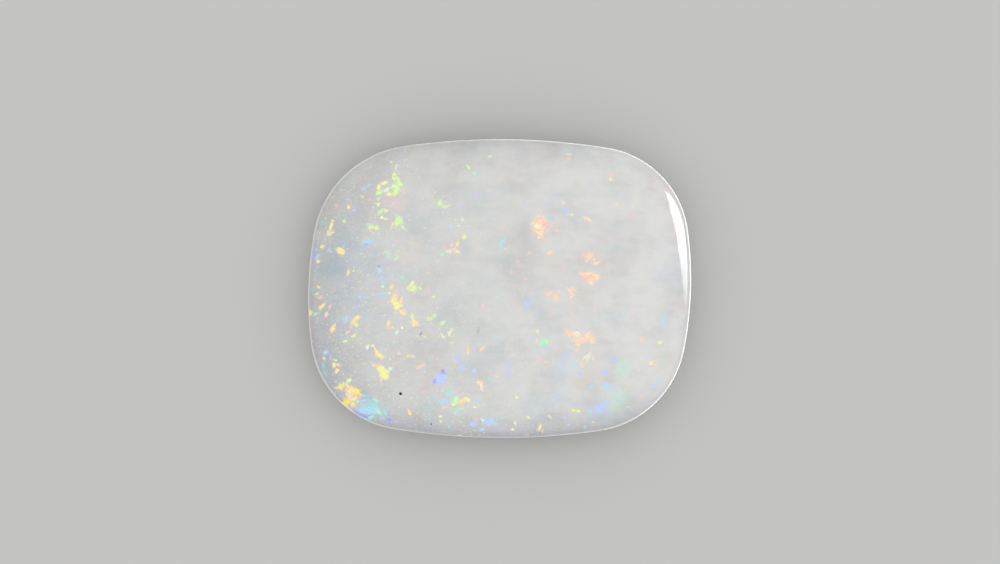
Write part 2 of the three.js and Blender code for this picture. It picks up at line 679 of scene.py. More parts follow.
# %% [markdown]
# ## Clouds
#
# Faint clouds of warm, cool and greenish grey drift through the milk, one to three millimetres across.
# They are soft noises, and each one multiplies the body by a pale tint, so that it stays as faint
# where the body is dark as where it is light. The last one is drawn out sideways, as the layers are
# in which the gel once settled.

# %% Clouds
CLOUDS = [
    # tint, size in mm along X, Y and Z, where its noise starts, and how strong it gets
    ("#faf2f0", (2.6, 2.6, 2.6), (3.0, 0.0, 0.0), 0.7),
    ("#eff4fa", (1.9, 1.9, 1.9), (0.0, 9.0, 0.0), 0.7),
    ("#f3f6f4", (1.4, 1.4, 1.4), (0.0, 0.0, 7.0), 0.6),
    ("#f3f3f5", (1.5, 0.5, 0.6), (5.0, 5.0, 0.0), 0.5),
]
CLOUD_EDGE = (0.45, 0.7)

for hex_colour, size, start, strength in CLOUDS:
    fitted = add(
        opal_tree,
        "ShaderNodeVectorMath",
        {0: in_mm, 1: [1 / side for side in size], 2: start},
        operation="MULTIPLY_ADD",
    ).outputs[0]
    cloud = add(
        opal_tree, "ShaderNodeTexNoise", {"Vector": fitted, "Scale": 1.0, "Detail": 3.0, "Roughness": 0.6}
    ).outputs["Fac"]
    amount = add(
        opal_tree,
        "ShaderNodeMapRange",
        {"Value": cloud, "From Min": CLOUD_EDGE[0], "From Max": CLOUD_EDGE[1], "To Max": strength},
        **smooth,
    ).outputs[0]
    colour = add(
        opal_tree,
        "ShaderNodeMix",
        {0: amount, 6: colour, 7: linear(hex_colour)},
        data_type="RGBA",
        blend_type="MULTIPLY",
    ).outputs[2]
print(len(CLOUDS), "kinds of cloud")

# %% [markdown]
# ## Pinfire
#
# Between the larger flakes the whole stone is full of pinfire: countless specks of up to a fifth of a
# millimetre, most of them so faint that they only make the grey shimmer. They crowd towards the left
# end and the lower edge. They are Voronoi cells in three dimensions, so they cover the sides and the
# back too. A random number decides which cells light up, and the fire zone moves the odds.

# %% Pinfire
PINFIRE_HUES = [
    "lilac", "periwinkle", "sky", "aqua", "mint", "cream", "lime", "lemon", "amber", "peach", "pink",
]
PINFIRE = [
    # cell size in mm, share of the cells that light up where the zone is 0 and where it is 1, strength
    (0.065, 0.15, 0.7, 0.24),
    (0.12, 0.03, 0.3, 0.42),
    (0.22, 0.0, 0.1, 0.35),
]
ZONE_SLOPE = (-0.07, -0.036, 0.0)
ZONE_PATCH = 1.5
ZONE_ENDS = (0.15, 1.0)
SPECK_EDGE = (0.6, 0.25)
LIGHTING_UP = 0.15

patches = add(opal_tree, "ShaderNodeTexNoise", {"Vector": in_mm, "Scale": 1 / ZONE_PATCH, "Detail": 2.0})
slope = add(
    opal_tree, "ShaderNodeVectorMath", {0: in_mm, 1: ZONE_SLOPE}, operation="DOT_PRODUCT"
).outputs["Value"]
likely = add(opal_tree, "ShaderNodeMath", {0: slope, 1: patches.outputs["Fac"]}).outputs[0]
fire_zone = add(
    opal_tree,
    "ShaderNodeMapRange",
    {"Value": likely, "From Min": ZONE_ENDS[0], "From Max": ZONE_ENDS[1]},
    **smooth,
).outputs[0]
for size, fewest, most, strength in PINFIRE:
    chance, hue_place, _, distance = cells(opal_tree, wandering, (size,) * 3)
    odds = add(
        opal_tree, "ShaderNodeMath", {0: fire_zone, 1: most - fewest, 2: chance}, operation="MULTIPLY_ADD"
    ).outputs[0]
    lit = add(
        opal_tree,
        "ShaderNodeMapRange",
        {
            "Value": odds,
            "From Min": 1.0 - fewest,
            "From Max": 1.0 + LIGHTING_UP - fewest,
            "To Max": strength,
        },
        **smooth,
    ).outputs[0]
    speck = add(
        opal_tree,
        "ShaderNodeMapRange",
        {"Value": distance, "From Min": SPECK_EDGE[0], "From Max": SPECK_EDGE[1], "To Max": lit},
        **smooth,
    ).outputs[0]
    fire = family_ramp(opal_tree, PINFIRE_HUES, hue_place)
    colour = add(opal_tree, "ShaderNodeMix", {0: speck, 6: colour, 7: fire}, data_type="RGBA").outputs[2]
print(len(PINFIRE), "sizes of pinfire")

# %% [markdown]
# ## The flashes of this stone
#
# A stone's flashes are its fingerprint, so the strong ones are placed one by one, at the pixel of the
# photograph where each one is seen. Lime and lemon stand at the upper left, amber and gold down the left
# side, aqua and violet at the lower left, peach right of the middle, and soft blues along the bottom.
# Each row gives a flash's x and y, its length and width in mm, its turn in degrees and its family, and
# then how broken, soft and strong it is, where that isn't the usual. Later rows lie over earlier ones.

# %% What a flash holds


class Flash(NamedTuple):
    """A flash at a pixel of the photograph, its size in mm, its turn in degrees and its look."""

    x: float
    y: float
    length: float
    width: float
    turn: float
    family: str
    broken: float = 0.7
    soft: float = 0.5
    strength: float = 1.0


print("a flash has", ", ".join(Flash._fields))

# %% Soft glows, deep in the stone, and painted shade at the left end
GLOWS_AND_LEFT_SHADE = [
    # The slate and mauve rows darken the left end and the left edge: a bluish and pinkish tone of the
    # stone's own, and painted shade there.
    (330, 268, 1.9, 1.4, 0, "slate", 0.2, 1.0, 0.65),
    (339, 240, 1.6, 1.2, 70, "slate", 0.3, 1.0, 0.3),
    (371, 176, 2.0, 1.2, 40, "mauve", 0.3, 1.0, 0.3),
    (313, 300, 2.0, 0.5, 95, "mauve", 0.3, 1.0, 0.35),
    (394, 204, 1.3, 0.8, 0, "pink", 0.2, 1.0, 0.35),
    (313, 340, 3.0, 0.5, 105, "mauve", 0.3, 1.0, 0.5),
    (314, 252, 0.9, 0.4, 80, "violet", 0.3, 0.9, 0.45),
    (458, 358, 0.5, 0.32, 80, "periwinkle", 0.4, 0.9, 0.7),
    (462, 367, 0.45, 0.28, 80, "sky", 0.4, 0.9, 0.6),
    (459, 410, 0.7, 0.5, 0, "mint", 0.4, 0.9, 0.5),
    (508, 372, 1.3, 0.35, 90, "periwinkle", 0.6, 0.9, 0.4),
    (564, 358, 0.9, 0.45, 90, "periwinkle", 0.4, 1.0, 0.35),
    (623, 372, 1.2, 0.8, 90, "mint", 0.3, 1.0, 0.35),
    (617, 402, 1.7, 1.1, 60, "mint", 0.3, 1.0, 0.35),
    (598, 409, 1.1, 0.8, 30, "periwinkle", 0.3, 1.0, 0.35),
    (562, 372, 1.5, 0.9, 90, "sky", 0.3, 1.0, 0.2),
    (581, 338, 1.5, 0.9, 0, "peach", 0.3, 1.0, 0.3),
    (541, 225, 1.3, 1.0, 60, "peach", 0.3, 1.0, 0.3),
    (351, 396, 1.6, 0.9, -60, "peach", 0.3, 1.0, 0.4),
    (370, 408, 1.9, 1.0, -15, "aqua", 0.3, 1.0, 0.5),
    (528, 304, 0.8, 0.25, 65, "periwinkle", 0.3, 0.9, 0.6),
    (616, 250, 1.2, 0.8, 0, "aqua", 0.3, 1.0, 0.15),
    (664, 322, 0.8, 0.4, 80, "sky", 0.4, 1.0, 0.35),
    (430, 407, 1.6, 0.7, 70, "aqua", 0.3, 1.0, 0.2),
    (660, 398, 1.3, 0.5, 45, "lilac", 0.3, 1.0, 0.3),
    (548, 405, 2.4, 1.2, 10, "sky", 0.3, 1.0, 0.12),
    (360, 300, 1.6, 0.9, 60, "sky", 0.4, 1.0, 0.15),
    (410, 250, 1.5, 1.2, 60, "peach", 0.3, 1.0, 0.12),
    (500, 430, 2.2, 0.5, 0, "lilac", 0.4, 1.0, 0.2),
]
print(len(GLOWS_AND_LEFT_SHADE), "glows")

# %% Flashes, upper left
UPPER_LEFT = [
    (394.4, 174.3, 0.17, 0.15, 0, "lemon", 0.4, 0.5, 0.9),
    (393.8, 178, 0.34, 0.14, -60, "lime", 0.8),
    (398.4, 181, 0.5, 0.17, -60, "lime", 0.8, 0.5, 0.9),
    (400.6, 184.6, 0.2, 0.17, 0, "lime", 0.5),
    (393, 185.4, 0.27, 0.18, 30, "lime", 0.6),
    (396.2, 188.6, 0.42, 0.28, 75, "lime", 0.7),
    (395.3, 193, 0.3, 0.19, 20, "lime", 0.6),
    (390.4, 193.5, 0.26, 0.16, 0, "lemon", 0.8),
    (388.6, 187.7, 0.22, 0.15, 45, "cream", 0.8, 0.6, 0.8),
    (386, 190.4, 0.26, 0.17, 0, "cream", 0.9, 0.6, 0.8),
    (384.1, 183.2, 0.34, 0.21, 15, "lemon", 0.6),
    (378.8, 187.2, 0.26, 0.18, 60, "lemon", 0.5),
    (379.2, 192.8, 0.34, 0.19, 45, "lime", 0.5),
    (378.5, 203.8, 0.18, 0.15, 80, "lemon", 0.4),
    (378.5, 198, 0.24, 0.17, 30, "lime", 1.0, 0.6, 0.6),
    (401.5, 191.5, 0.32, 0.22, 0, "peach", 1.0, 0.8, 0.5),
    (380, 211, 0.28, 0.2, 80, "lime", 1.3, 0.5, 0.7),
    (386, 210, 0.24, 0.15, -20, "lime", 0.5),
    (382, 218, 0.22, 0.14, 0, "cream", 0.7),
    (386.3, 219, 0.18, 0.12, 0, "lime", 0.7),
    (398, 221, 0.4, 0.38, 30, "lime", 0.7, 0.3),
    (393, 224.5, 0.26, 0.16, 60, "gold", 1.0, 0.5, 0.8),
    (403, 228, 0.3, 0.1, -50, "lime", 1.0, 0.5, 0.7),
    (371, 227, 0.3, 0.2, 20, "lemon", 0.9, 0.5, 0.8),
    (376, 228, 0.22, 0.2, 40, "lime", 0.7),
    (368, 224.5, 0.16, 0.14, 0, "mint", 0.6, 0.5, 0.8),
    (348.4, 207, 0.2, 0.16, 80, "gold", 0.3),
    (354, 210, 0.16, 0.14, 0, "lilac", 0.3, 0.6),
    (331, 226, 0.42, 0.16, 82, "lemon", 0.6),
    (332.6, 221, 0.22, 0.14, -30, "amber", 0.5),
    (322, 223.4, 0.22, 0.2, 0, "teal", 0.8, 0.6, 0.7),
    (344, 221.4, 0.16, 0.16, 0, "lime", 0.4, 0.5, 0.7),
    (364.3, 188.5, 0.38, 0.24, 60, "sky", 0.6, 0.8, 0.65),
    (369, 185.5, 0.2, 0.16, 40, "sky", 0.5, 0.8, 0.65),
    (362, 196, 0.24, 0.2, 0, "peach", 0.6, 0.7, 0.7),
    (370, 199.7, 0.16, 0.14, 0, "pink", 0.5, 0.6, 0.6),
    (336, 206, 0.34, 0.24, 70, "pink", 0.9, 0.9, 0.4),
    (391, 162, 0.2, 0.13, 0, "cream", 0.8, 0.7, 0.7),
    (396, 168, 0.3, 0.12, 70, "cream", 1.2, 0.7, 0.6),
]
print(len(UPPER_LEFT), "flashes at the upper left")

# %% Flashes, left edge
LEFT_EDGE = [
    (330, 233, 0.4, 0.22, 25, "apricot", 0.6),
    (328, 231, 0.14, 0.12, 0, "aqua", 0.4),
    (322, 246.6, 0.22, 0.14, 20, "gold", 0.7),
    (340.5, 251, 0.36, 0.28, -10, "gold", 0.5, 0.25),
    (343.3, 246.5, 0.18, 0.16, 0, "periwinkle", 0.5, 0.7, 0.7),
    (329, 250.4, 0.24, 0.18, 60, "sky", 0.7, 0.7, 0.7),
    (331, 252, 0.12, 0.12, 0, "pink", 0.4),
    (317, 258, 0.34, 0.2, 60, "periwinkle", 0.8, 0.7, 0.7),
    (318.7, 261.6, 0.2, 0.14, 55, "amber", 0.4),
    (348.4, 272.4, 0.4, 0.14, 75, "amber", 0.4),
    (353.8, 271, 0.12, 0.12, 0, "cream", 0.3),
    (366.5, 242.5, 0.6, 0.3, 15, "sky", 0.8, 0.7, 0.8),
    (371.6, 240, 0.26, 0.16, 30, "periwinkle", 0.5, 0.6, 0.9),
    (366, 245.3, 0.3, 0.14, 0, "violet", 0.6, 0.8, 0.5),
    (387.3, 253.6, 0.36, 0.24, -60, "mint", 1.3, 0.4, 0.9),
    (396, 258, 0.22, 0.12, 30, "lime", 0.9, 0.6, 0.6),
    (378.5, 266, 0.2, 0.12, 0, "violet", 0.5, 0.6, 0.8),
    (379.6, 271, 0.3, 0.2, 80, "sky", 0.9, 0.6, 0.8),
    (381, 278, 0.34, 0.2, 10, "periwinkle", 0.8, 0.6, 0.8),
    (383.5, 283, 0.24, 0.22, 0, "aqua", 0.8, 0.6, 0.7),
    (382.8, 286.8, 0.15, 0.12, 0, "lime", 0.3),
    (381.5, 293.5, 0.34, 0.12, 12, "sky", 0.6, 0.6, 0.8),
    (375, 295, 0.16, 0.1, 30, "lilac", 0.4),
    (393, 275.6, 0.2, 0.12, 80, "sky", 0.4, 0.6, 0.8),
    (402, 277.8, 0.24, 0.16, 40, "aqua", 0.7, 0.5, 0.8),
    (360.5, 297, 0.16, 0.13, 0, "sky", 0.3, 0.6),
    (367, 297, 0.14, 0.12, 0, "sky", 0.3, 0.6),
    (346.5, 292, 0.22, 0.18, 0, "sky", 0.5, 0.8, 0.6),
    (318.4, 287, 0.22, 0.13, -20, "amber", 0.5),
    (312.5, 289, 0.24, 0.12, 70, "teal", 0.5, 0.5, 0.8),
    (316.5, 294, 0.26, 0.14, 30, "mint", 0.5, 0.5, 0.8),
    (319.7, 297, 0.28, 0.2, 20, "pink", 0.8, 0.6, 0.7),
    (322, 306.2, 0.38, 0.16, 48, "amber", 0.4),
    (329.3, 307, 0.3, 0.16, 75, "pink", 0.5),
    (310.3, 312.5, 0.28, 0.14, 85, "gold", 0.5),
    (315, 314, 0.28, 0.18, 20, "mint", 0.6, 0.6, 0.7),
    (326.7, 314.5, 0.24, 0.14, 55, "peach", 0.5),
    (325.7, 352.4, 0.3, 0.2, 30, "sky", 0.5, 0.5, 0.9),
    (324, 358, 0.16, 0.15, 0, "amber", 0.4),
    (323.2, 365, 0.5, 0.17, 86, "teal", 0.5, 0.5, 0.85),
    (325, 372.5, 0.32, 0.15, -58, "teal", 0.5, 0.5, 0.8),
]
print(len(LEFT_EDGE), "along the left edge")

# %% Flashes, left of the middle
LEFT_MIDDLE = [
    (391.7, 287, 0.24, 0.18, 60, "amber", 0.6),
    (397, 290, 0.24, 0.18, 0, "pink", 0.9, 0.5, 0.8),
    (389.2, 293, 0.16, 0.14, 0, "lime", 0.4),
    (394, 299, 0.42, 0.24, 72, "gold", 0.7),
    (397, 305.5, 0.46, 0.34, -40, "lemon", 0.6, 0.3),
    (401.5, 301, 0.4, 0.12, 78, "amber", 0.8),
    (402.5, 312, 0.34, 0.2, -45, "amber", 0.8),
    (411, 287, 0.4, 0.3, 0, "lime", 0.9),
    (411, 287.5, 0.16, 0.12, 0, "peach", 0.2),
    (414.6, 288.5, 0.22, 0.16, -30, "lime", 0.5),
    (413, 282.5, 0.16, 0.12, 40, "cream", 0.5),
    (415, 292, 0.26, 0.16, 70, "pink", 0.7, 0.8, 0.6),
    (420.5, 288.4, 0.22, 0.12, -10, "lime", 0.5),
    (427, 290, 0.34, 0.22, 80, "pink", 0.7, 0.9, 0.4),
    (433.5, 297, 0.18, 0.13, 20, "lime", 0.3),
    (412.3, 317, 0.3, 0.13, -70, "lime", 0.8, 0.4, 0.9),
    (415, 323.4, 0.34, 0.24, -50, "gold", 0.6, 0.3),
    (346, 319, 0.46, 0.18, 62, "sky", 0.4, 0.7, 0.85),
    (354, 321, 0.5, 0.2, 52, "amber", 0.8),
    (357.5, 318, 0.28, 0.16, 45, "gold", 0.5),
    (355.4, 325, 0.2, 0.14, 0, "lemon", 0.7, 0.5, 0.8),
    (351, 327, 0.2, 0.13, 40, "pink", 0.5),
    (333, 328.5, 0.44, 0.19, 62, "amber", 0.5),
    (347.7, 332, 0.22, 0.12, 40, "peach", 0.4),
    (353.2, 336, 0.24, 0.2, 20, "gold", 0.5),
    (345.5, 341, 0.22, 0.14, 20, "lime", 0.5),
    (368, 347, 0.26, 0.13, 55, "cream", 0.5),
    (373, 345.7, 0.16, 0.14, 0, "cream", 0.4, 0.6, 0.8),
    (376, 349.5, 0.3, 0.09, -55, "amber", 0.4),
    (379.8, 355, 0.46, 0.2, -52, "gold", 0.5, 0.3),
    (384.7, 315.5, 0.2, 0.14, 0, "peach", 0.8, 0.6, 0.7),
    (384, 318.5, 0.16, 0.1, 0, "sky", 0.3, 0.7, 0.7),
    (388.5, 323.7, 0.32, 0.14, 80, "amber", 0.4),
    (392.7, 327, 0.12, 0.1, 0, "amber", 0.3),
    (396.8, 332, 0.3, 0.09, 60, "cream", 0.7, 0.5, 0.8),
    (402, 328, 0.13, 0.12, 0, "cream", 0.2),
    (374.5, 365, 0.28, 0.14, -10, "peach", 0.5),
    (379.6, 364.8, 0.26, 0.13, 0, "pink", 0.5),
    (380.5, 369, 0.32, 0.26, 0, "lemon", 0.5, 0.3),
    (384.5, 374.3, 0.5, 0.4, -48, "lemon", 0.45, 0.25),
    (389.8, 368.7, 0.18, 0.16, 0, "cream", 0.6, 0.5, 0.8),
    (381.5, 379, 0.26, 0.15, 75, "peach", 0.5),
    (393, 369.3, 0.12, 0.2, 0, "sky", 0.3, 0.7, 0.7),
    (389.8, 359, 0.13, 0.12, 0, "amber", 0.3),
    (398.8, 354, 0.18, 0.11, 0, "peach", 0.3, 0.5, 0.8),
    (408.2, 356.2, 0.16, 0.13, 0, "amber", 0.4, 0.5, 0.8),
    (413.3, 356.2, 0.17, 0.14, 0, "peach", 0.4, 0.5, 0.9),
    (335.6, 360.4, 0.15, 0.14, 0, "lime", 0.5),
    (334, 365.5, 0.28, 0.15, 85, "lemon", 0.5),
    (338, 365.3, 0.22, 0.16, 0, "peach", 0.5),
    (337, 371, 0.28, 0.2, 70, "gold", 0.8),
    (349.3, 381.2, 0.26, 0.17, 62, "lime", 0.5),
    (420.3, 366.7, 0.42, 0.15, 32, "peach", 0.6, 0.4, 0.9),
    (421.8, 370.8, 0.28, 0.14, 0, "lilac", 0.4, 0.8, 0.7),
    (425.4, 336.5, 0.16, 0.09, 0, "amber", 0.2),
    (425.4, 339, 0.17, 0.1, 0, "sky", 0.3, 0.5, 0.8),
    (419.7, 339.2, 0.22, 0.12, 0, "lilac", 0.5, 0.7, 0.6),
]
print(len(LEFT_MIDDLE), "left of the middle")

# %% Flashes, lower left corner
LOWER_LEFT = [
    (340.4, 386.8, 0.3, 0.21, 15, "yellow", 0.5),
    (336.5, 388, 0.15, 0.11, 0, "peach", 0.4),
    (339.4, 384.3, 0.16, 0.12, 30, "aqua", 0.4, 0.6, 0.7),
    (352, 389, 0.8, 0.2, -30, "amber", 1.0, 0.4),
    (349.5, 391.8, 0.7, 0.22, -15, "gold", 1.1, 0.4),
    (356.5, 392, 0.3, 0.2, -45, "yellow", 0.7, 0.4),
    (350.6, 396, 0.58, 0.34, -30, "peach", 1.1, 0.5, 0.9),
    (354.2, 399, 0.3, 0.18, 15, "lemon", 0.7),
    (346.5, 402.3, 0.46, 0.34, 45, "yellow", 0.6),
    (343.5, 404, 0.3, 0.16, -45, "yellow", 0.4),
    (352.6, 405, 0.26, 0.2, -30, "gold", 0.7, 0.5, 0.9),
    (357.8, 401.6, 0.3, 0.14, 30, "lime", 0.7, 0.6, 0.6),
    (360.3, 395.5, 0.3, 0.14, 75, "peach", 0.6, 0.6, 0.8),
    (347.5, 383.3, 0.14, 0.12, 0, "mint", 0.4),
    (349, 408, 0.5, 0.13, -45, "peach", 0.6, 0.6, 0.9),
    (368.5, 410.5, 1.1, 0.44, 0, "sky", 0.4, 0.5, 0.95),
    (371.5, 409.3, 0.58, 0.23, 15, "aqua", 0.4, 0.4),
    (378, 411.3, 0.4, 0.2, -45, "mint", 0.4, 0.5, 1.0),
    (370.5, 417.8, 0.42, 0.16, 15, "aqua", 0.4),
    (364, 400.1, 0.4, 0.12, 15, "sky", 0.5, 0.6, 0.85),
    (364.4, 395.5, 0.26, 0.14, -15, "aqua", 0.5, 0.6, 0.85),
    (376, 400.6, 0.4, 0.13, -30, "mint", 0.6, 0.6, 0.9),
    (373, 404, 0.75, 0.36, -15, "aqua", 0.8, 0.8, 0.5),
    (363.4, 403, 0.4, 0.14, 0, "lilac", 0.6, 0.7, 0.6),
    (362, 415.5, 0.8, 0.2, -35, "violet", 0.3, 0.6, 0.9),
    (385.3, 413.4, 0.24, 0.1, -45, "aqua", 0.3),
    (388.9, 420.3, 0.3, 0.28, 0, "violet", 0.3, 0.6, 0.9),
    (383, 417.5, 0.4, 0.26, 0, "lilac", 0.4, 0.9, 0.5),
    (409.6, 412.5, 0.28, 0.13, -60, "gold", 0.4, 0.3),
]
print(len(LOWER_LEFT), "in the lower left corner")

# %% Flashes, below the middle and along the bottom
BOTTOM = [
    (440.7, 378.5, 0.6, 0.56, 40, "periwinkle", 0.4, 0.5, 0.95),
    (434.3, 381.3, 0.24, 0.2, 30, "violet", 0.4, 0.5, 0.9),
    (443.3, 371.7, 0.3, 0.2, -35, "violet", 0.4, 0.5, 0.9),
    (449, 392.5, 0.44, 0.17, 18, "aqua", 0.6),
    (443.9, 401, 0.38, 0.2, 10, "sky", 0.7, 0.5, 0.9),
    (439.4, 401.5, 0.14, 0.13, 0, "sky", 0.3, 0.5, 0.9),
    (452.5, 400.5, 0.34, 0.22, 80, "aqua", 0.7),
    (456, 401, 0.34, 0.28, 60, "lime", 0.9, 0.4),
    (453.3, 404.5, 0.24, 0.14, 0, "lime", 0.5),
    (462, 401, 0.42, 0.2, 35, "gold", 0.5),
    (467, 399.5, 0.28, 0.15, -35, "lemon", 0.6),
    (461, 404.8, 0.24, 0.12, 10, "pink", 0.7, 0.6, 0.8),
    (446.5, 407, 0.36, 0.14, 20, "peach", 1.2, 0.5, 0.7),
    (479.5, 383, 0.3, 0.26, 0, "peach", 0.7),
    (481.5, 387.5, 0.38, 0.18, -68, "apricot", 0.6),
    (474.2, 370.8, 0.22, 0.2, 0, "sky", 0.3, 0.5, 0.9),
    (495, 375.3, 0.22, 0.14, 30, "pink", 0.7, 0.5, 0.8),
    (491, 378.5, 0.26, 0.11, 0, "aqua", 0.7, 0.6, 0.7),
    (490, 420.5, 0.6, 0.42, 20, "sky", 1.5, 0.5, 0.9),
    (494.5, 423.8, 0.3, 0.15, 0, "sky", 0.6, 0.6, 0.9),
    (472.6, 424.4, 0.38, 0.2, -10, "periwinkle", 0.7, 0.6, 0.9),
    (476.4, 420, 0.2, 0.15, 0, "pink", 0.6, 0.5, 0.8),
    (483, 420, 0.15, 0.14, 0, "cream", 0.4, 0.5, 0.9),
    (482.2, 429.5, 0.24, 0.2, 20, "sky", 0.4, 0.5, 0.9),
    (449.6, 427, 0.18, 0.13, 0, "aqua", 0.4, 0.6, 0.7),
    (476.4, 401.5, 0.3, 0.2, 60, "sky", 1.3, 0.5, 0.8),
    (475, 407.2, 0.13, 0.1, 0, "cream", 0.2),
    (440.7, 416.5, 0.12, 0.12, 0, "cream", 0.2),
    (440.7, 421.3, 0.14, 0.13, 0, "lime", 0.2),
    (424.4, 391.3, 0.3, 0.12, 10, "pink", 0.8, 0.7, 0.6),
    (459.8, 435.8, 0.24, 0.12, 0, "apricot", 0.3),
    (429.9, 318.7, 0.26, 0.17, 10, "lime", 0.6, 0.5, 0.6),
    (434, 316, 0.2, 0.18, 0, "lime", 0.6, 0.5, 0.75),
    (442.3, 323.3, 0.38, 0.18, 30, "lime", 0.6, 0.5, 0.75),
    (442.6, 335.8, 0.28, 0.1, -62, "cream", 0.4),
    (450.3, 331.7, 0.36, 0.13, 58, "cream", 1.0, 0.5, 0.8),
    (452.2, 342.8, 0.26, 0.09, 12, "apricot", 0.6, 0.5, 0.8),
    (468, 351, 0.36, 0.13, 88, "apricot", 0.3),
    (474.5, 349.5, 0.15, 0.12, 80, "pink", 0.3),
    (482, 348.4, 0.38, 0.15, 42, "apricot", 0.5),
    (516.5, 397.7, 0.13, 0.13, 0, "cream", 0.1),
    (528, 417.2, 0.24, 0.11, -35, "lemon", 0.4, 0.5, 0.8),
    (539.6, 426.8, 0.32, 0.16, 55, "lemon", 0.8),
    (542.3, 431.5, 0.2, 0.1, 80, "apricot", 0.5),
    (512, 429.4, 0.16, 0.14, 0, "cream", 0.4),
    (515.2, 423, 0.2, 0.12, -40, "cream", 0.6, 0.5, 0.8),
    (549.6, 416.5, 0.32, 0.09, -25, "cream", 0.8, 0.6, 0.6),
    (564.3, 417.2, 0.26, 0.16, -20, "periwinkle", 0.4, 0.5, 0.9),
    (559.2, 395.5, 0.15, 0.15, 0, "periwinkle", 0.2, 0.6, 0.8),
    (573.5, 410.4, 0.18, 0.14, 0, "lemon", 0.3),
    (578.3, 411, 0.2, 0.14, -20, "lemon", 0.4),
    (589.8, 411.5, 0.24, 0.11, -40, "aqua", 0.3),
    (585.4, 427.4, 0.17, 0.17, 0, "aqua", 0.6, 0.6, 0.8),
    (588, 431.5, 0.22, 0.12, 10, "periwinkle", 0.4, 0.6, 0.8),
    (593.6, 422, 0.12, 0.12, 0, "pink", 0.2),
    (568.8, 424.8, 0.14, 0.11, 0, "sky", 0.3, 0.6, 0.8),
    (526.7, 434.5, 0.26, 0.16, 0, "pink", 0.6, 0.8, 0.6),
]
print(len(BOTTOM), "below the middle and along the bottom")

# %% Flashes, top and middle
TOP_MIDDLE = [
    (467.8, 166.2, 0.24, 0.15, -45, "lime", 0.3),
    (474.3, 173.8, 0.17, 0.12, -40, "mint", 0.4, 0.5, 0.9),
    (476.5, 175.5, 0.12, 0.1, 0, "aqua", 0.2, 0.6, 0.8),
    (489.8, 156, 0.22, 0.12, 0, "cream", 0.5, 0.5, 0.5),
    (439.8, 203.2, 0.3, 0.14, 80, "lime", 0.4),
    (443.9, 206.8, 0.3, 0.12, -15, "lime", 0.4),
    (449, 206, 0.13, 0.12, 0, "lemon", 0.2, 0.5, 0.6),
    (477, 193.4, 0.34, 0.16, -15, "lilac", 0.5, 0.6, 0.85),
    (491, 194.3, 0.19, 0.17, 0, "lilac", 0.3, 0.6, 0.8),
    (450.6, 227.2, 0.24, 0.22, 0, "sky", 0.3, 0.6, 0.9),
    (462.4, 219.5, 0.24, 0.1, -62, "cream", 0.5, 0.5, 0.7),
    (459, 226, 0.28, 0.1, -35, "cream", 0.6, 0.6, 0.7),
    (464.6, 237, 0.24, 0.17, 80, "lemon", 0.3, 0.5, 0.9),
    (468.9, 237.3, 0.16, 0.1, 0, "sky", 0.5, 0.6, 0.6),
    (452.2, 244.3, 0.34, 0.2, 80, "pink", 0.6, 0.5, 0.9),
    (457.3, 244.5, 0.26, 0.15, 80, "gold", 0.8),
    (449.3, 250.7, 0.24, 0.17, 80, "apricot", 1.0),
    (455, 248.8, 0.2, 0.14, 0, "peach", 0.9, 0.5, 0.8),
    (457.8, 252.3, 0.24, 0.14, 5, "gold", 0.4),
    (442.3, 254.6, 0.22, 0.14, 20, "mint", 0.5, 0.4, 0.9),
    (444, 246, 0.26, 0.14, 70, "lilac", 0.6, 0.8, 0.6),
    (453.5, 264.4, 0.24, 0.16, 0, "lilac", 0.5, 0.8, 0.5),
    (502, 242.3, 0.56, 0.18, 42, "aqua", 0.7, 0.6, 0.7),
    (501.8, 245.5, 0.13, 0.11, 0, "aqua", 0.2, 0.5, 0.9),
    (505.5, 248.5, 0.12, 0.1, 80, "apricot", 0.3, 0.6, 0.7),
    (482.8, 306, 0.26, 0.12, 85, "peach", 0.5, 0.6, 0.7),
    (498.4, 297.3, 0.22, 0.11, 15, "mint", 0.5, 0.6, 0.8),
    (517.4, 261.6, 0.26, 0.11, 88, "pink", 0.5, 0.6, 0.7),
    (511, 270.8, 0.26, 0.11, 85, "peach", 0.7, 0.7, 0.6),
    (528.8, 253, 0.24, 0.14, 35, "peach", 0.7, 0.6, 0.7),
    (525.4, 279.4, 0.18, 0.1, 0, "pink", 0.4, 0.6, 0.8),
    (525.5, 303, 0.2, 0.14, 80, "periwinkle", 0.3, 0.6, 0.8),
    (549.6, 252.4, 0.36, 0.14, 18, "apricot", 0.3),
    (551, 262.5, 0.13, 0.1, 0, "aqua", 0.3, 0.7, 0.7),
    (550.3, 312.2, 0.17, 0.12, 0, "pink", 0.3, 0.6, 0.8),
    (541, 220, 0.56, 0.42, 0, "peach", 0.7, 0.35),
    (540, 226.5, 0.66, 0.4, -35, "peach", 0.9, 0.35),
    (546.5, 225.5, 0.42, 0.24, -50, "pink", 0.8, 0.4),
    (537, 226, 0.24, 0.2, 0, "cream", 0.8),
    (536.3, 232, 0.34, 0.12, -30, "apricot", 0.5),
    (541, 232.5, 0.42, 0.2, 60, "peach", 0.9),
    (540, 236.5, 0.28, 0.2, 60, "apricot", 0.5),
    (546.7, 236.5, 0.18, 0.14, 30, "pink", 0.5, 0.5, 0.9),
    (547, 241.5, 0.28, 0.14, 85, "pink", 0.7, 0.8, 0.6),
    (536.3, 217.3, 0.18, 0.14, 0, "mint", 0.5, 0.6, 0.55),
    (547.7, 218.8, 0.26, 0.14, -40, "aqua", 0.5, 0.5, 0.8),
    (533.5, 222, 0.2, 0.14, 40, "lime", 0.7, 0.7, 0.3),
    (556.7, 230.5, 0.2, 0.12, 20, "peach", 0.4, 0.5, 0.9),
    (553, 224, 0.24, 0.12, 0, "pink", 0.9, 0.7, 0.6),
]
print(len(TOP_MIDDLE), "at the top and in the middle")

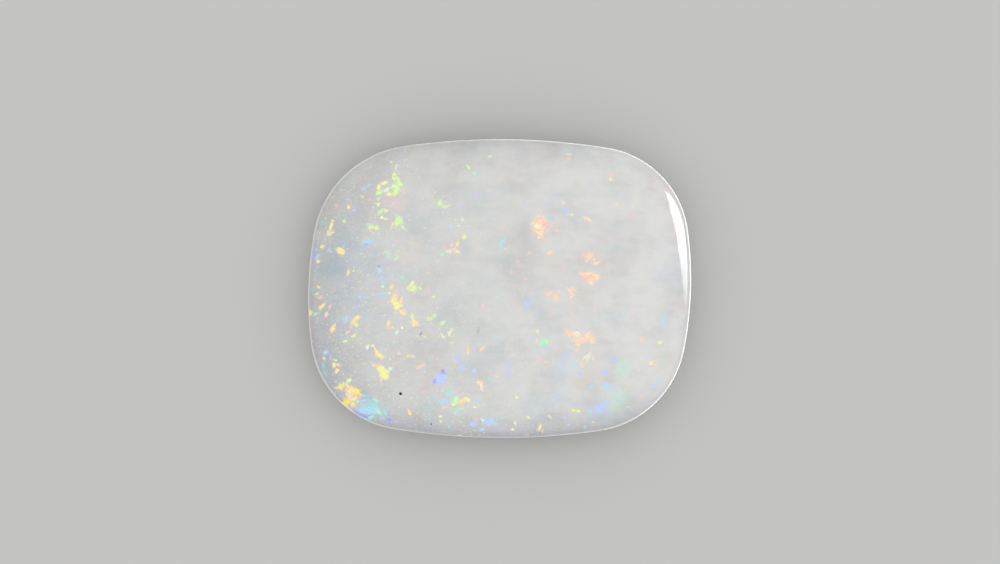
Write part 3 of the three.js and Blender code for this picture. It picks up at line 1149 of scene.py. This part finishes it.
# %% Flashes, right of the middle
RIGHT = [
    (569.4, 155, 0.26, 0.12, 5, "cream", 0.9, 0.6, 0.5),
    (569, 158.7, 0.2, 0.12, 0, "apricot", 0.4, 0.6, 0.7),
    (561.8, 166.6, 0.26, 0.16, 0, "lilac", 0.5, 0.8, 0.5),
    (559.2, 190.8, 0.2, 0.16, 70, "sky", 0.4, 0.7, 0.7),
    (548.4, 203.6, 0.22, 0.2, 0, "lilac", 0.4, 0.8, 0.6),
    (555.4, 199.2, 0.34, 0.16, 15, "lilac", 0.5, 0.8, 0.6),
    (523, 204.3, 0.3, 0.2, 0, "lilac", 0.5, 0.9, 0.5),
    (590, 182.5, 0.3, 0.24, 0, "lilac", 0.5, 0.9, 0.45),
    (564, 203, 0.18, 0.17, 0, "peach", 0.2, 0.5, 0.9),
    (565, 210, 0.42, 0.17, -60, "periwinkle", 0.6, 0.7, 0.75),
    (572, 215, 0.15, 0.13, 0, "cream", 0.2, 0.5, 0.7),
    (587.3, 218.9, 0.48, 0.15, -33, "peach", 0.3, 0.4),
    (581, 219, 0.22, 0.14, -40, "aqua", 0.5, 0.7, 0.6),
    (582.8, 241.5, 0.18, 0.12, 30, "aqua", 0.3, 0.5, 0.9),
    (596.2, 241.8, 0.28, 0.14, 0, "lilac", 0.4, 0.9, 0.6),
    (582.3, 254.6, 0.28, 0.17, 60, "pink", 0.5, 0.5, 0.9),
    (588, 256, 0.4, 0.34, 0, "peach", 0.9),
    (587.5, 260, 0.26, 0.2, 60, "peach", 1.0, 0.5, 0.8),
    (591.5, 262, 0.34, 0.13, -20, "pink", 0.8, 0.5, 0.8),
    (596, 263.2, 0.4, 0.17, 10, "apricot", 0.5),
    (600.7, 259.7, 0.14, 0.12, 0, "pink", 0.4),
    (594, 259, 0.14, 0.12, 0, "cream", 0.5, 0.6, 0.7),
    (587, 275, 0.62, 0.28, -12, "peach", 0.35, 0.3),
    (594, 276, 0.62, 0.26, -10, "apricot", 0.35, 0.3),
    (588, 278.5, 0.56, 0.3, -18, "pink", 0.4, 0.35),
    (591, 281.5, 0.4, 0.26, 0, "peach", 0.5, 0.45),
    (574, 268.6, 0.22, 0.12, 5, "aqua", 0.3, 0.5, 0.9),
    (568, 289, 0.4, 0.12, -52, "pink", 0.4, 0.4, 0.9),
    (570.5, 291.5, 0.52, 0.14, -52, "peach", 0.4, 0.4, 0.95),
    (573.5, 289.5, 0.34, 0.12, -50, "apricot", 0.6, 0.4, 0.9),
    (572.5, 296.5, 0.28, 0.16, 60, "peach", 0.5, 0.5, 0.9),
    (571.3, 301, 0.24, 0.17, 80, "pink", 0.5, 0.7, 0.7),
    (548, 291.7, 0.3, 0.18, 0, "pink", 0.6, 0.5, 0.9),
    (549, 294, 0.26, 0.16, 30, "apricot", 0.6),
    (551.5, 297, 0.24, 0.11, -45, "pink", 0.6, 0.5, 0.9),
    (556, 297.7, 0.28, 0.24, 70, "apricot", 0.4),
    (558.5, 292, 0.3, 0.14, 75, "peach", 0.9, 0.7, 0.6),
    (572, 314, 0.4, 0.14, -55, "peach", 0.9, 0.8, 0.55),
    (594, 311, 0.13, 0.11, 0, "pink", 0.2, 0.5, 0.8),
    (543, 342.3, 0.4, 0.36, 0, "mint", 0.4, 0.5, 0.9),
    (547.3, 342, 0.18, 0.14, 0, "lime", 0.3, 0.5, 0.7),
    (544, 345, 0.26, 0.14, 10, "aqua", 0.4, 0.6, 0.8),
    (537.5, 332, 0.17, 0.14, 0, "peach", 0.4, 0.6, 0.8),
    (536.8, 340, 0.24, 0.1, 85, "peach", 0.4, 0.8, 0.6),
    (570, 333.2, 0.48, 0.24, -25, "peach", 1.6, 0.4, 0.85),
    (576.5, 334.2, 0.28, 0.22, 0, "cream", 0.8),
    (576.5, 339, 0.5, 0.34, -30, "peach", 1.3, 0.35, 0.9),
    (580.9, 337.4, 0.42, 0.18, -25, "peach", 0.8, 0.4),
    (587, 335, 0.34, 0.2, 40, "peach", 1.0),
    (591, 339.2, 0.46, 0.28, -48, "apricot", 0.5, 0.3),
    (584.5, 341, 0.34, 0.2, 20, "peach", 1.1, 0.5, 0.8),
    (577.7, 344.5, 0.17, 0.12, 0, "gold", 0.4),
    (576.7, 351, 0.14, 0.12, 0, "apricot", 0.3, 0.5, 0.9),
    (580.8, 364, 0.36, 0.11, -58, "peach", 0.6, 0.5, 0.85),
    (587.3, 357.8, 0.4, 0.3, 40, "cream", 1.4, 0.5, 0.6),
    (593, 358.5, 0.15, 0.13, 0, "peach", 0.4, 0.5, 0.8),
    (538.5, 361.3, 0.2, 0.17, 0, "pink", 0.4, 0.5, 0.85),
    (539.4, 354, 0.22, 0.2, 0, "lilac", 0.4, 0.8, 0.6),
    (572.6, 363, 0.32, 0.22, 0, "aqua", 0.5, 0.9, 0.55),
    (579.8, 373.8, 0.36, 0.2, -55, "periwinkle", 0.4, 0.7, 0.8),
    (575.3, 376.3, 0.3, 0.15, 80, "pink", 0.5, 0.8, 0.6),
    (604.6, 372, 0.34, 0.32, 0, "periwinkle", 0.5, 0.7, 0.85),
    (591, 386, 0.22, 0.11, 80, "sky", 0.3, 0.6, 0.9),
    (606, 386.3, 0.48, 0.44, 0, "sky", 0.5, 0.7, 0.85),
    (614.6, 393, 0.34, 0.18, 70, "sky", 0.5, 0.8, 0.6),
    (600.5, 408, 0.6, 0.4, 50, "periwinkle", 0.5, 0.7, 0.85),
    (606.5, 402, 0.36, 0.2, 60, "periwinkle", 0.5, 0.7, 0.85),
    (614, 359, 0.48, 0.14, -25, "periwinkle", 0.3, 0.5, 0.9),
    (616, 360.8, 0.22, 0.12, 0, "lilac", 0.3, 0.7, 0.7),
    (642, 340.2, 0.22, 0.22, 0, "peach", 0.4, 0.5, 0.85),
    (660, 342.8, 0.18, 0.16, 0, "lemon", 0.3),
    (652.3, 363.8, 0.36, 0.18, -10, "apricot", 0.5),
    (647.3, 366.6, 0.28, 0.1, 45, "pink", 0.5, 0.7, 0.7),
    (641, 359.5, 0.26, 0.12, -55, "apricot", 0.7, 0.7, 0.6),
    (639.2, 369.5, 0.18, 0.17, 0, "peach", 0.4, 0.8, 0.6),
    (655.5, 383.6, 0.5, 0.18, 42, "sky", 0.3, 0.6, 0.65),
    (661.8, 363.5, 0.24, 0.13, 85, "aqua", 0.3, 0.8, 0.6),
    (636.3, 395.2, 0.26, 0.13, 0, "lilac", 0.3, 0.8, 0.7),
    (641.7, 396, 0.13, 0.12, 0, "peach", 0.3, 0.6, 0.8),
    (628.7, 407.3, 0.28, 0.1, 0, "apricot", 0.4, 0.6, 0.8),
    (609.9, 174.6, 0.24, 0.17, 10, "pink", 0.4, 0.5, 0.9),
    (611.3, 178.8, 0.19, 0.17, 0, "gold", 0.3, 0.5, 0.85),
    (617.2, 204.2, 0.18, 0.15, 0, "lime", 0.5, 0.7, 0.6),
    (619.8, 204.2, 0.18, 0.15, 0, "pink", 0.4, 0.7, 0.7),
    (632.5, 205.5, 0.18, 0.09, 85, "peach", 0.3, 0.7, 0.7),
    (630.6, 213.1, 0.24, 0.14, 5, "pink", 0.4, 0.5, 0.85),
    (668.9, 187, 0.26, 0.2, 40, "pink", 0.8, 0.9, 0.5),
    (640, 275, 0.3, 0.13, 60, "apricot", 0.8, 0.7, 0.7),
    (634, 281, 0.2, 0.1, 50, "peach", 0.6, 0.7, 0.6),
    (624, 308.6, 0.28, 0.2, 30, "aqua", 0.6, 0.8, 0.45),
    (623.7, 325.7, 0.16, 0.12, 0, "peach", 0.4, 0.6, 0.7),
    (665.5, 317, 0.4, 0.17, 30, "aqua", 0.8, 0.8, 0.35),
    (664.7, 329, 0.2, 0.14, 0, "periwinkle", 0.6, 0.7, 0.45),
]
print(len(RIGHT), "right of the middle")

# %% Marks: a black speck painted in the pit, a painted highlight below it on the pit's lower lip, and three fainter marks
MARKS_AND_PIT_GLINT = [
    (400.8, 393.8, 0.14, 0.13, 0, "soot", 0.1, 0.5, 1.0),
    # A painted highlight: the pale glint on the pit's lower lip.
    (401.3, 396.8, 0.09, 0.06, 0, "cream", 0.1, 0.6, 0.8),
    (420.6, 333.6, 0.18, 0.08, 60, "soot", 0.3, 0.8, 0.6),
    (430.8, 424.4, 0.08, 0.08, 0, "soot", 0.1, 0.6, 0.7),
    (478, 331.7, 0.4, 0.15, 88, "olive", 0.6, 0.9, 0.3),
]
print(len(MARKS_AND_PIT_GLINT), "inclusions")

# %% All of them, in the order in which they are laid
ROWS = [
    *GLOWS_AND_LEFT_SHADE,
    *UPPER_LEFT,
    *LEFT_EDGE,
    *LEFT_MIDDLE,
    *LOWER_LEFT,
    *BOTTOM,
    *TOP_MIDDLE,
    *RIGHT,
    *MARKS_AND_PIT_GLINT,
]
FLASHES = [Flash(*row) for row in ROWS]
print(len(FLASHES), "in all")

# %% [markdown]
# ## Laying the flashes
#
# A second noise, as fine as a flake's smallest teeth, makes its edge ragged. It pushes further where
# the milk is denser and lighter, because the milk smears what lies under it.
#
# Each flash needs its own turned coordinates. Turning them once for every flash would make the
# material slow, so they are turned once for each of twelve directions, 15 degrees apart, and a
# flash takes the nearest. A flake is also thin, so a small one fades out about half a millimetre
# above and below its place on the face, and doesn't run down the stone's side as a stripe.

# %% Lay the glows and the flashes
TOOTH_SIZE = 0.11
TOOTH_PUSH = 0.14
TURN_STEP = 15
FLAKE_DEPTH = 0.4
milk = add(opal_tree, "ShaderNodeRGBToBW", {"Color": colour}).outputs["Val"]
tooth_push = add(opal_tree, "ShaderNodeMath", {0: milk, 1: TOOTH_PUSH}, operation="MULTIPLY").outputs[0]
ragged = warped(opal_tree, wandering, TOOTH_SIZE, tooth_push)
turned_points = {}


def nearest_turn(turn):
    """The nearest of the twelve directions, as 15 to 180 degrees.

    An oval looks the same half a turn on. No frame is left unturned, because Cycles skips a turn of
    zero, then works those flashes out long before it needs them, and runs out of room for them.
    """
    return 180 - (-TURN_STEP * round(turn / TURN_STEP)) % 180


def turned_frame(tree, turn):
    """The ragged point in coordinates turned by some degrees. Each is made once."""
    if turn not in turned_points:
        turned_points[turn] = add(
            tree, "ShaderNodeMapping", {"Vector": ragged, "Rotation": (0, 0, math.radians(-turn))}
        ).outputs[0]
    return turned_points[turn]


def lay(tree, under, flash):
    """One flash over the colour so far."""
    turn = nearest_turn(flash.turn)
    centre = Matrix.Rotation(math.radians(-turn), 3, "Z") @ on_stone(flash.x, flash.y)
    zoom = Vector((2 / flash.length, 2 / flash.width, 1 / (FLAKE_DEPTH + flash.length / 2)))
    return add(
        tree,
        "ShaderNodeGroup",
        {
            "Under": under,
            "Point": turned_frame(tree, turn),
            "Zoom": zoom,
            "Shift": -centre * zoom,
            "Grain": grains["left" if flash.turn < 0 else "right"],
            "Broken": flash.broken,
            "Full": 1.0 - flash.soft,
            "Strength": flash.strength,
            "Hue": families[flash.family],
        },
        node_tree=flash_group,
    ).outputs["Colour"]


for flash in FLASHES:
    turned_frame(opal_tree, nearest_turn(flash.turn))
for flash in FLASHES:
    colour = lay(opal_tree, colour, flash)
print(len(opal_tree.nodes), "nodes in the opal so far")

# %% [markdown]
# ## The edge and the back
#
# The dome is polished on felt until it is like glass. The girdle and the bevel are only sanded fine, so
# they are rougher. A thin pale line is painted around the stone, from the dome's lower shoulder down over
# the girdle: a painted highlight, the bright line that the steep rim catches. The flat back is ground on
# a coarser wheel and left so. Its strokes all run one way, and grey potch, which is opal without fire,
# shows in it here and there.

# %% Satin on the girdle and the bevel, a painted highlight along the rim, and a ground back
# The colour of the painted highlight along the rim.
RIM_HIGHLIGHT_COLOUR = "#eeece9"
SATIN_ENDS = (GIRDLE_TOP + 0.08, GIRDLE_TOP)
RIM_HIGHLIGHT_ENDS = (GIRDLE_TOP + 0.34, GIRDLE_TOP + 0.1)
GIRDLE_RIM_HIGHLIGHT_ENDS = (GIRDLE_FOOT - 0.1, GIRDLE_TOP)
BACK_ENDS = (0.04, 0.01)
POLISHED = 0.045
SATIN = 0.34
GROUND = 0.5
BACK_MARKS = [
    # colour, size in mm along X, Y and Z, detail, and the noise's height where one starts and is full
    # Patches of potch.
    ("#b4b2ab", (2.2, 2.2, 2.2), 5.0, (0.5, 0.62)),
    # Strokes of a 600 grit wheel. They are about 0.02 mm wide, which is too fine to show, so here
    # they are 0.05 mm.
    ("#e6e4e0", (2.5, 0.05, 1.0), 2.0, (0.52, 0.68)),
]

satin, pale, girdle_pale, ground = (
    add(
        opal_tree,
        "ShaderNodeMapRange",
        {"Value": axes["Z"], "From Min": start, "From Max": end},
        **smooth,
    ).outputs[0]
    for start, end in (SATIN_ENDS, RIM_HIGHLIGHT_ENDS, GIRDLE_RIM_HIGHLIGHT_ENDS, BACK_ENDS)
)
# A painted highlight: a pale line around the steep rim and the girdle.
painted_rim_highlight = add(opal_tree, "ShaderNodeMath", {0: pale, 1: girdle_pale}, operation="MULTIPLY").outputs[0]
colour = add(
    opal_tree, "ShaderNodeMix", {0: painted_rim_highlight, 6: colour, 7: linear(RIM_HIGHLIGHT_COLOUR)}, data_type="RGBA"
).outputs[2]

for hex_colour, size, detail, ends in BACK_MARKS:
    fitted = add(
        opal_tree,
        "ShaderNodeVectorMath",
        {0: in_mm, 1: [1 / side for side in size]},
        operation="MULTIPLY",
    ).outputs[0]
    mark = add(
        opal_tree, "ShaderNodeTexNoise", {"Vector": fitted, "Scale": 1.0, "Detail": detail}
    ).outputs["Fac"]
    amount = add(
        opal_tree,
        "ShaderNodeMapRange",
        {"Value": mark, "From Min": ends[0], "From Max": ends[1], "To Max": ground},
        **smooth,
    ).outputs[0]
    colour = add(
        opal_tree, "ShaderNodeMix", {0: amount, 6: colour, 7: linear(hex_colour)}, data_type="RGBA"
    ).outputs[2]

polish = add(
    opal_tree, "ShaderNodeMath", {0: satin, 1: SATIN - POLISHED, 2: POLISHED}, operation="MULTIPLY_ADD"
).outputs[0]
roughness = add(
    opal_tree, "ShaderNodeMath", {0: ground, 1: GROUND - SATIN, 2: polish}, operation="MULTIPLY_ADD"
).outputs[0]
print("roughness", POLISHED, "on the dome,", SATIN, "on the edge and", GROUND, "on the back")

# %% [markdown]
# ## The shader
#
# One Principled shader takes all of it. The milk is subsurface light, which goes in at one place and
# comes out at another about half a millimetre away. Red travels a little further than blue. Only a
# quarter of the body's light takes that way, so that the flakes keep their crisp edges.

# %% The opal's shader
OPAL_IOR = 1.45
MILKY_SHARE = 0.25
MILKY_DEPTH = 0.6
RED_GREEN_BLUE_REACH = (1.0, 0.95, 0.85)
shader = add(
    opal_tree,
    "ShaderNodeBsdfPrincipled",
    {
        "Base Color": colour,
        "Roughness": roughness,
        "IOR": OPAL_IOR,
        "Subsurface Weight": MILKY_SHARE,
        "Subsurface Radius": RED_GREEN_BLUE_REACH,
        "Subsurface Scale": MILKY_DEPTH * MM,
    },
)
add(opal_tree, "ShaderNodeOutputMaterial", {"Surface": shader.outputs[0]})
stone_data.materials.append(opal)
print("the opal has", len(opal_tree.nodes), "nodes")

# %% [markdown]
# ## The studio
#
# The stone lies on a plain matt board of pale grey card. The board is one flat disc, wide enough to
# fill every view. It has no gloss at all, or it would mirror the light cards.

# %% Floor
BOARD_COLOUR = "#c2c2c0"
BOARD_ROUGHNESS = 0.9
BOARD_REACH = 1.5
BOARD_SIDES = 128
floor_mesh = bmesh.new()
bmesh.ops.create_circle(floor_mesh, cap_ends=True, segments=BOARD_SIDES, radius=BOARD_REACH)
floor_data = bpy.data.meshes.new("floor")
floor_mesh.to_mesh(floor_data)
floor_mesh.free()
floor = bpy.data.objects.new("floor", floor_data)
bpy.context.scene.collection.objects.link(floor)
floor_paint = bpy.data.materials.new("matt_grey_board")
floor_paint.use_nodes = True
board = floor_paint.node_tree.nodes["Principled BSDF"]
board.inputs["Base Color"].default_value = linear(BOARD_COLOUR)
board.inputs["Roughness"].default_value = BOARD_ROUGHNESS
board.inputs["Specular IOR Level"].default_value = 0.0
floor_data.materials.append(floor_paint)
floor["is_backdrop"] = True
print("the board is", 2 * BOARD_REACH, "m across")

# %% [markdown]
# ## Lights
#
# An even pale room lights the milk. The highlight on a polished dome is a mirror image of a lamp, so
# its outline is the lamp's: here a bright card, cut in a half round with a drawn-out tip, that stands
# on the table to the right. It fades towards its near end, and so does the highlight. A second card,
# a crescent, lies flat on the table close around the right half of the stone, and the steep rim shows
# it as a fine white line. Both cards only show in the polish, so that the milk stays evenly lit. An
# area lamp is simpler to make, but it is always a plain rectangle or oval, and so is its highlight.

# %% The two cards
CARD_X = 16.0
CARD_OUTLINE = [
    # y and height in mm, from the near end over the top to the tip and back along the foot
    (-2.4, 0.8),
    (-1.0, 3.0),
    (0.4, 4.5),
    (1.9, 5.5),
    (3.6, 6.3),
    (5.5, 7.0),
    (7.2, 7.0),
    (8.8, 6.2),
    (10.4, 4.9),
    (9.6, 3.0),
    (8.0, 1.7),
    (6.0, 1.3),
    (4.0, 0.8),
]
CARD_FADE = (-2.4, 2.0)
CARD_RADIANCE = 10.0
CRESCENT_GAP = 0.3
CRESCENT_WIDTH = 1.8
CRESCENT_MIDDLE = math.radians(5)
CRESCENT_SPAN = math.radians(97)
CRESCENT_HEIGHT = 0.05
CRESCENT_FADE = (-9.5, -6.0)
CRESCENT_RADIANCE = 2.7


def glowing_card(name, corners, radiance, fade):
    """A flat sheet of light, given by its corners in mm, that fades in between two places in Y."""
    sheet = bpy.data.meshes.new(name)
    sheet.from_pydata([Vector(corner) * MM for corner in corners], [], [range(len(corners))])
    paper = bpy.data.materials.new(name + "_light")
    paper.use_nodes = True
    tree = paper.node_tree
    tree.nodes.clear()
    where = add(tree, "ShaderNodeTexCoord").outputs["Object"]
    along = add(tree, "ShaderNodeSeparateXYZ", {0: where}).outputs["Y"]
    strength = add(
        tree,
        "ShaderNodeMapRange",
        {"Value": along, "From Min": fade[0] * MM, "From Max": fade[1] * MM, "To Max": radiance},
    ).outputs[0]
    light = add(tree, "ShaderNodeEmission", {"Strength": strength}).outputs[0]
    add(tree, "ShaderNodeOutputMaterial", {"Surface": light})
    sheet.materials.append(paper)
    card = bpy.data.objects.new(name, sheet)
    bpy.context.scene.collection.objects.link(card)
    card.visible_camera = False
    card.visible_diffuse = False
    card.visible_shadow = False
    card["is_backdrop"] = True


glowing_card("upright_card", [(CARD_X, y, z) for y, z in CARD_OUTLINE], CARD_RADIANCE, CARD_FADE)
inner_edge, outer_edge = [], []
for point, facing in stations:
    turn = math.remainder(math.atan2(facing.y, facing.x) - CRESCENT_MIDDLE, 2 * math.pi)
    if abs(turn) < CRESCENT_SPAN:
        width = CRESCENT_WIDTH * (1 - (turn / CRESCENT_SPAN) ** 2)
        inner = point - middle + facing * CRESCENT_GAP
        inner_edge.append((turn, (*inner, CRESCENT_HEIGHT)))
        outer_edge.append((turn, (*(inner + facing * width), CRESCENT_HEIGHT)))
round_the_stone = sorted(inner_edge) + sorted(outer_edge, reverse=True)
crescent = [corner for _, corner in round_the_stone]
glowing_card("crescent_card", crescent, CRESCENT_RADIANCE, CRESCENT_FADE)
print(len(crescent), "corners on the crescent card")

# %% The room
ROOM_LIGHT = 1.03
room = bpy.data.worlds.new("pale_room")
bpy.context.scene.world = room
room.use_nodes = True
room.node_tree.nodes["Background"].inputs["Color"].default_value = (1, 1, 1, 1)
room.node_tree.nodes["Background"].inputs["Strength"].default_value = ROOM_LIGHT
bpy.context.scene.view_settings.view_transform = "Standard"
print("the room gives", ROOM_LIGHT, "of plain white light")

# %% [markdown]
# ## The camera
#
# The photograph looks straight down on the stone, from far enough away that the outline isn't bent. The
# lens and the camera's height were settled above, where the pixels were read, so here they are only
# put in place.

# %% Camera
NEAREST_SEEN = 0.005
camera_data = bpy.data.cameras.new("camera")
camera_data.lens = LENS
camera_data.sensor_width = SENSOR
camera_data.clip_start = NEAREST_SEEN
camera = bpy.data.objects.new("camera", camera_data)
bpy.context.scene.collection.objects.link(camera)
camera.location = eye * MM
bpy.context.scene.camera = camera
print("the camera hangs", round(camera.location.z / MM), "mm up")

# %% [markdown]
# ## Sizes, and the end
#
# The largest gap between the frame's box and the finished model's box is printed, so that a piece
# that has grown past the imported solid is found at once.

# %% Print the largest gap between the boxes
seen_low, seen_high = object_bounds()
gaps = [abs(a - b) for a, b in zip((*cad_low, *cad_high), (*seen_low, *seen_high))]
print("the two boxes are within", round(max(gaps) / MM, 4), "mm of each other")
